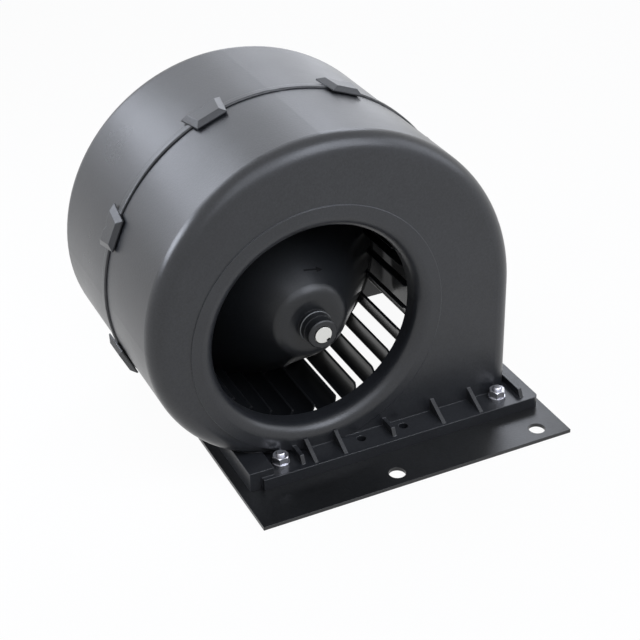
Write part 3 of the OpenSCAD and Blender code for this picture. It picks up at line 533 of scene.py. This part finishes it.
class Workbench:
    """Operator steps that the new pieces share."""

    @staticmethod
    def clear_selection() -> None:
        """Leave object mode with nothing selected."""
        if bpy.context.object and bpy.context.object.mode != "OBJECT":
            bpy.ops.object.mode_set(mode="OBJECT")
        bpy.ops.object.select_all(action="DESELECT")

    @staticmethod
    def select_vertices(piece: bpy.types.Object, test: Callable[[Vector], bool]) -> None:
        """Select the vertices of a piece in edit mode whose place passes a test.

        Args:
            piece: the piece in edit mode.
            test: a function from a local place to True or False.
        """
        mesh = bmesh.from_edit_mesh(piece.data)
        for vertex in mesh.verts:
            vertex.select = test(vertex.co)
        mesh.select_flush(True)
        mesh.select_flush(False)
        bmesh.update_edit_mesh(piece.data)

    @staticmethod
    def apply_modifier(piece: bpy.types.Object, name: str, kind: str,
                       settings: dict[str, object]) -> None:
        """Put a modifier on the active piece and apply it.

        Args:
            piece: the active piece, in object mode.
            name: the modifier's name.
            kind: the modifier's type.
            settings: property name to value.
        """
        modifier = piece.modifiers.new(name, kind)
        for label, value in settings.items():
            setattr(modifier, label, value)
        bpy.ops.object.modifier_apply(modifier=modifier.name)

    @staticmethod
    def settle(piece: bpy.types.Object, place: Matrix) -> None:
        """Move a piece to its place and leave its object at the origin.

        Args:
            piece: the piece in object mode.
            place: where the piece's own axes go.
        """
        Workbench.clear_selection()
        piece.matrix_world = place
        piece.select_set(True)
        bpy.context.view_layer.objects.active = piece
        bpy.ops.object.transform_apply(location=True, rotation=True, scale=True)

    @staticmethod
    def dress(piece: bpy.types.Object, material: bpy.types.Material) -> None:
        """Give a piece one material on all its faces."""
        piece.data.materials.clear()
        piece.data.materials.append(material)


@dataclass
class SubAssembly:
    """A group of solids with their finishes.

    Attributes:
        title: the group's name in the log.
        finishes: node name to finish.
    """

    title: str
    finishes: dict[str, Finish]

    def dress(self, nodes: Solids, materials: MaterialShelf) -> None:
        """Give each solid its material.

        Args:
            nodes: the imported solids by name.
            materials: the built materials.
        """
        for name, finish in self.finishes.items():
            Workbench.dress(nodes[name], materials.get(finish))
            LOG.info("%s: %s in %s", self.title, name, finish.name)

    def build(self, nodes: Solids, materials: MaterialShelf) -> None:
        """Add the group's own pieces. A plain group has none."""


@dataclass
class MountingPlate(SubAssembly):
    """Steel plate with its studs, washers and nuts, and the threads that show on the studs.

    Attributes:
        stud_radius: radius of the stud thread in metres.
        stud_head_radius: radius of the stud's flat head in metres, which bounds the studs.
        thread_pitch: rise of one thread turn in metres.
        thread_turns: turns that show above a nut.
        thread_start: height of the thread's start above the nut, as a share of the pitch.
        thread_section: radius of the thread's three-cornered section, as a share of the pitch.
        thread_sink: depth of the section's middle inside the stud, as a share of the pitch.
        steps_per_turn: straight steps in one turn.
    """

    title: str = "mounting plate"
    finishes: dict[str, Finish] = field(default_factory=lambda: {
        "base_plate": PLATE_PAINT, "plate_studs": BRIGHT_ZINC, "stud_washers": BRIGHT_ZINC,
        "stud_nuts": BRIGHT_ZINC})
    stud_radius: float = 2.5 * MM
    stud_head_radius: float = 3.9 * MM
    thread_pitch: float = 0.5 * MM
    thread_turns: int = 2
    thread_start: float = 0.25
    thread_section: float = 0.42
    thread_sink: float = 0.2
    steps_per_turn: int = 40

    def build(self, nodes: Solids, materials: MaterialShelf) -> None:
        """Wind the visible thread on each stud.

        Args:
            nodes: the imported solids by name.
            materials: the built materials.
        """
        low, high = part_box("plate_studs")
        foot_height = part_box("stud_nuts")[1].z + self.thread_pitch * self.thread_start
        coils = [self._coil(Vector((x, y, foot_height)))
                 for x in (low.x + self.stud_head_radius, high.x - self.stud_head_radius)
                 for y in (low.y + self.stud_head_radius, high.y - self.stud_head_radius)]
        Workbench.clear_selection()
        for coil in coils:
            coil.select_set(True)
        bpy.context.view_layer.objects.active = coils[0]
        bpy.ops.object.join()
        threads = bpy.context.view_layer.objects.active
        threads.name = "stud_threads"
        Workbench.dress(threads, materials.get(BRIGHT_ZINC))
        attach(threads, "housing")
        LOG.info("%s: stud_threads", self.title)

    def _coil(self, foot: Vector) -> bpy.types.Object:
        """Wind one thread about a stud.

        Args:
            foot: the start of the thread on the stud's axis.

        Returns:
            The thread, at the origin with its place in its mesh.
        """
        section = self.thread_pitch * self.thread_section
        middle = self.stud_radius - self.thread_pitch * self.thread_sink
        Workbench.clear_selection()
        bpy.ops.mesh.primitive_circle_add(vertices=3, radius=section, location=(0, 0, 0),
                                          rotation=(math.radians(90), 0, 0))
        coil = bpy.context.object
        bpy.ops.object.transform_apply(location=True, rotation=True, scale=True)
        bpy.ops.object.mode_set(mode="EDIT")
        bpy.ops.mesh.select_all(action="SELECT")
        bpy.ops.transform.translate(value=(middle, 0, 0))
        bpy.ops.object.mode_set(mode="OBJECT")
        Workbench.apply_modifier(coil, "wind", "SCREW", {
            "axis": "Z", "screw_offset": self.thread_pitch, "iterations": self.thread_turns,
            "steps": self.steps_per_turn, "render_steps": self.steps_per_turn})
        bpy.ops.object.mode_set(mode="EDIT")
        bpy.ops.mesh.select_all(action="SELECT")
        bpy.ops.mesh.remove_doubles(threshold=MERGE_GAP)
        bpy.ops.mesh.fill_holes(sides=4)
        bpy.ops.mesh.normals_make_consistent(inside=False)
        bpy.ops.object.mode_set(mode="OBJECT")
        Workbench.settle(coil, Matrix.Translation(foot))
        return coil


@dataclass
class ScrollHousing(SubAssembly):
    """The two moulded shells."""

    title: str = "scroll housing"
    finishes: dict[str, Finish] = field(default_factory=lambda: {
        "front_shell": SHELL_PLASTIC, "rear_shell": SHELL_PLASTIC})


@dataclass
class FanWheel(SubAssembly):
    """The wheel with its hub, and the turning arrow on its cone.

    Attributes:
        front_wall: place of the housing's front wall along Y in metres.
        arrow_depth: depth of the arrow behind the front wall in metres.
        arrow_radius: distance of the arrow from the fan axis in metres.
        arrow_angle: angle of the arrow's middle seen from the front, degrees.
        arrow_cuts: cuts across each of the arrow's edges, so that it bends with the cone.
        stem: length and width of the arrow's stem in metres.
        head: length and width of the arrow's head in metres.
        ink_gap: gap between the arrow and the cone in metres.
        ink_height: thickness of the arrow in metres.
        cone_half: half angle of the cone, degrees.
    """

    title: str = "fan wheel"
    # The hub clip's zinc is darkened as painted shade.
    finishes: dict[str, Finish] = field(default_factory=lambda: {
        "fan_wheel": WHEEL_PLASTIC, "hub_clip": ZINC_PAINTED_SHADE, "hub_sleeve": GROUND_STEEL,
        "shaft": GROUND_STEEL})
    front_wall: float = -68.5 * MM
    arrow_depth: float = 18.0 * MM
    arrow_radius: float = 25.8 * MM
    arrow_angle: float = 78.0
    arrow_cuts: int = 5
    stem: tuple[float, float] = (7.0 * MM, 0.9 * MM)
    head: tuple[float, float] = (3.8 * MM, 3.2 * MM)
    ink_gap: float = 0.02 * MM
    ink_height: float = 0.12 * MM
    cone_half: float = 37.0

    def build(self, nodes: Solids, materials: MaterialShelf) -> None:
        """Lay the turning arrow on the cone.

        Args:
            nodes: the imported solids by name.
            materials: the built materials.
        """
        arrow = self._flat_arrow()
        Workbench.settle(arrow, self._arrow_place())
        Workbench.apply_modifier(arrow, "wrap", "SHRINKWRAP", {
            "target": nodes["fan_wheel"], "wrap_method": "NEAREST_SURFACEPOINT",
            "offset": self.ink_gap})
        Workbench.apply_modifier(arrow, "thick", "SOLIDIFY", {
            "thickness": self.ink_height, "offset": 1.0})
        arrow.name = "turning_arrow"
        Workbench.dress(arrow, materials.get(ARROW_INK))
        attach(arrow, "rotor")
        LOG.info("%s: turning_arrow", self.title)

    def _flat_arrow(self) -> bpy.types.Object:
        """Draw the arrow flat, pointing along +X, with its middle at the origin.

        Returns:
            The flat arrow in object mode.
        """
        length, width = self.stem
        head_length, head_width = self.head
        start = -(length + head_length) / 2
        neck = start + length
        Workbench.clear_selection()
        bpy.ops.mesh.primitive_plane_add(size=1.0, location=(0, 0, 0))
        arrow = bpy.context.object
        bpy.ops.object.mode_set(mode="EDIT")
        bpy.ops.transform.resize(value=(length, width, 1.0), center_override=(0, 0, 0))
        bpy.ops.transform.translate(value=(start + length / 2, 0, 0))
        Workbench.select_vertices(arrow, lambda co: co.x > neck - PICK_SLACK)
        bpy.ops.mesh.extrude_region_move(TRANSFORM_OT_translate={"value": (0, 0, 0)})
        bpy.ops.transform.resize(value=(1.0, head_width / width, 1.0), center_override=(neck, 0, 0))
        bpy.ops.mesh.extrude_region_move(TRANSFORM_OT_translate={"value": (head_length, 0, 0)})
        bpy.ops.mesh.merge(type="CENTER")
        bpy.ops.mesh.select_all(action="SELECT")
        bpy.ops.mesh.remove_doubles(threshold=MERGE_GAP)
        bpy.ops.mesh.subdivide(number_cuts=self.arrow_cuts)
        bpy.ops.mesh.normals_make_consistent(inside=False)
        bpy.ops.object.mode_set(mode="OBJECT")
        return arrow

    def _arrow_place(self) -> Matrix:
        """Find where the arrow lies on the cone.

        Returns:
            A matrix with X along the turn, Z out of the cone and the arrow's middle as its place.
        """
        angle = math.radians(self.arrow_angle)
        slope = math.radians(self.cone_half)
        outward = Vector((math.cos(angle), 0.0, math.sin(angle)))
        along = Vector((math.sin(angle), 0.0, -math.cos(angle)))
        normal = outward * math.cos(slope) - Vector((0.0, 1.0, 0.0)) * math.sin(slope)
        up = normal.cross(along)
        middle = FAN_AXIS + outward * self.arrow_radius
        middle.y = self.front_wall + self.arrow_depth
        turn = Matrix((along, up, normal)).transposed().to_4x4()
        return Matrix.Translation(middle) @ turn


@dataclass
class DriveMotor(SubAssembly):
    """The brushed motor and the bracket that carries it."""

    title: str = "drive motor"
    finishes: dict[str, Finish] = field(default_factory=lambda: {
        "motor_can": CAN_STEEL, "magnets": FERRITE, "end_cap": CAP_PLASTIC,
        "front_bearing": BRONZE, "rear_bearing": BRONZE, "armature_core": CORE_STEEL,
        "windings": COPPER, "commutator": COPPER, "thrust_washers": NYLON,
        "motor_bracket": PLATE_PAINT, "isolator_pads": RUBBER, "bracket_screws": BRIGHT_ZINC,
        "motor_screws": BRIGHT_ZINC, "terminals": BRASS, "terminal_socket": CAP_PLASTIC})


@dataclass
class BrushGear(SubAssembly):
    """Brushes, holders and springs on their card."""

    title: str = "brush gear"
    finishes: dict[str, Finish] = field(default_factory=lambda: {
        "brush_card": LAMINATE, "brush_holders": BRASS, "brush_upper": CARBON,
        "brush_lower": CARBON, "spring_upper": BRIGHT_ZINC, "spring_lower": BRIGHT_ZINC})


def bearing_vector(bearing: float, height: float) -> Vector:
    """Give the direction from the blower to a place round it.

    Args:
        bearing: degrees from straight ahead of the front, positive to the right.
        height: degrees above the floor.

    Returns:
        A unit vector.
    """
    turn, lift = math.radians(bearing), math.radians(height)
    return Vector((math.sin(turn) * math.cos(lift), -math.cos(turn) * math.cos(lift),
                   math.sin(lift)))


@dataclass(frozen=True)
class Softbox:
    """A rectangular lamp that faces the blower.

    Attributes:
        name: the lamp's name.
        bearing: degrees from straight ahead of the front, positive to the right.
        height: degrees above the floor.
        size: width and height in metres.
        radiance: brightness of its face, where 1 is white.
        distance: distance from the blower in metres.
        colour: colour of the light, linear.
    """

    name: str
    bearing: float
    height: float
    size: tuple[float, float]
    radiance: float
    distance: float = 1.0
    colour: Colour = (0.83, 0.88, 1.0)

    def build(self, aim: Vector) -> None:
        """Hang the lamp, out of the camera's sight.

        Args:
            aim: the point that it faces.
        """
        data = bpy.data.lights.new(self.name, "AREA")
        data.shape = "RECTANGLE"
        data.size, data.size_y = self.size
        data.color = self.colour
        data.energy = WATTS_PER_WHITE * self.radiance * self.size[0] * self.size[1]
        lamp = bpy.data.objects.new(self.name, data)
        back = bearing_vector(self.bearing, self.height)
        lamp.location = aim + back * self.distance
        lamp.rotation_euler = back.to_track_quat("Z", "Y").to_euler()
        lamp.visible_camera = False
        bpy.context.scene.collection.objects.link(lamp)


@dataclass
class Studio:
    """Floor, world, lamps and camera.

    Attributes:
        bearing: camera bearing from straight ahead, degrees, negative to the left.
        height: camera height angle, degrees.
        roll: camera roll, degrees.
        distance: camera distance from its target in metres.
        target: the point at the middle of the picture in metres.
        lens: focal length in millimetres.
        sensor: sensor width in millimetres.
        nearest: nearest distance that the camera shows in metres.
        floor_size: width of the floor in metres.
        floor_drop: depth of the floor below the plate's underside in metres.
        floor_colour: colour of the floor in the light, linear.
        floor_glow: share of the floor's white that shadows leave alone.
        world_light: brightness of the surroundings as a light.
        lamp_aim: the point that the lamps face in metres.
        lamps: the softboxes.
    """

    bearing: float = -24.94
    height: float = 31.52
    roll: float = -1.47
    distance: float = 808.2 * MM
    target: Triple = (-50.4 * MM, -28.5 * MM, 57.3 * MM)
    lens: float = 85.2
    sensor: float = 36.0
    nearest: float = 10.0 * MM
    floor_size: float = 8.0
    floor_drop: float = 0.05 * MM
    floor_colour: Colour = (0.9, 0.9, 0.9)
    floor_glow: float = 0.95
    world_light: float = 0.1
    lamp_aim: Triple = (-50.0 * MM, 0.0, 80.0 * MM)
    lamps: tuple[Softbox, ...] = (
        Softbox("left_kicker", -105.0, 27.0, (0.13, 0.1), 9.0, distance=0.32),
        Softbox("left_strip", -144.0, 38.0, (0.2, 0.2), 2.9, distance=0.42),
        Softbox("left_back_box", -150.0, 22.0, (0.5, 0.5), 0.7),
        Softbox("back_box", 174.0, 49.0, (0.3, 0.26), 0.85, distance=0.42),
        Softbox("back_right_box", 150.0, 13.0, (0.5, 0.75), 0.75),
        Softbox("plate_box", 142.0, 38.0, (0.3, 0.25), 3.8),
        Softbox("front_right_box", 25.0, 42.0, (0.26, 0.26), 3.4, distance=0.48),
        Softbox("front_top_box", -8.0, 50.0, (0.9, 0.7), 1.4),
        Softbox("right_box", 70.0, 25.0, (0.5, 0.6), 1.6),
    )

    def build(self) -> None:
        """Set the whole studio."""
        self._floor()
        self._world()
        for lamp in self.lamps:
            lamp.build(Vector(self.lamp_aim))
        self._camera()
        bpy.context.scene.view_settings.view_transform = "Standard"

    @staticmethod
    def _seen_ray(tree: bpy.types.NodeTree) -> bpy.types.NodeSocket:
        """Tell rays that show the background from rays that light.

        Args:
            tree: the nodes to add to.

        Returns:
            A socket that is 1 for camera, glossy and transmission rays.
        """
        path = add_node(tree, "LightPath")
        first = add_node(tree, "Math", operation="MAXIMUM")
        second = add_node(tree, "Math", operation="MAXIMUM")
        wire(tree,
             (path.outputs["Is Camera Ray"], first.inputs[0]),
             (path.outputs["Is Glossy Ray"], first.inputs[1]),
             (first.outputs["Value"], second.inputs[0]),
             (path.outputs["Is Transmission Ray"], second.inputs[1]))
        return second.outputs["Value"]

    def _floor(self) -> None:
        """Lay the white floor that keeps a soft shadow."""
        Workbench.clear_selection()
        bpy.ops.mesh.primitive_plane_add(size=self.floor_size, location=(0, 0, -self.floor_drop))
        floor = bpy.context.object
        floor.name = "floor"
        material = bpy.data.materials.new("floor_white")
        tree = bare_tree(material)
        out = add_node(tree, "OutputMaterial")
        matt = add_node(tree, "BsdfDiffuse", {"Color": (*self.floor_colour, 1.0)})
        glow = add_node(tree, "Emission", {"Color": WHITE})
        share = add_node(tree, "Math", {1: self.floor_glow}, "MULTIPLY")
        mix = add_node(tree, "MixShader")
        wire(tree,
             (self._seen_ray(tree), share.inputs[0]),
             (share.outputs["Value"], mix.inputs["Fac"]),
             (matt.outputs["BSDF"], mix.inputs[1]),
             (glow.outputs["Emission"], mix.inputs[2]),
             (mix.outputs["Shader"], out.inputs["Surface"]))
        Workbench.dress(floor, material)

    def _world(self) -> None:
        """Surround the studio with soft light that shows as white."""
        world = bpy.data.worlds.new("studio")
        bpy.context.scene.world = world
        tree = bare_tree(world)
        out = add_node(tree, "OutputWorld")
        glow = add_node(tree, "Background", {"Color": WHITE})
        level = add_node(tree, "MapRange", {"To Min": self.world_light, "To Max": 1.0})
        wire(tree,
             (self._seen_ray(tree), level.inputs["Value"]),
             (level.outputs["Result"], glow.inputs["Strength"]),
             (glow.outputs["Background"], out.inputs["Surface"]))

    def _camera(self) -> None:
        """Stand the camera at the photograph's angle."""
        back = bearing_vector(self.bearing, self.height)
        data = bpy.data.cameras.new("camera")
        data.sensor_fit = "HORIZONTAL"
        data.sensor_width = self.sensor
        data.lens = self.lens
        data.clip_start = self.nearest
        camera = bpy.data.objects.new("camera", data)
        camera.location = Vector(self.target) + back * self.distance
        turn = back.to_track_quat("Z", "Y") @ Quaternion((0.0, 0.0, 1.0), math.radians(self.roll))
        camera.rotation_euler = turn.to_euler()
        bpy.context.scene.collection.objects.link(camera)
        bpy.context.scene.camera = camera


def main() -> None:
    """Build the studio, dress the solids and add the new pieces."""
    logging.basicConfig(level=logging.INFO, format="%(name)s: %(message)s")
    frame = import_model()
    Workbench.clear_selection()
    Studio().build()
    materials = MaterialShelf()
    for part in (MountingPlate(), ScrollHousing(), FanWheel(), DriveMotor(), BrushGear()):
        part.dress(frame["nodes"], materials)
        part.build(frame["nodes"], materials)


if __name__ == "__main__":
    main()
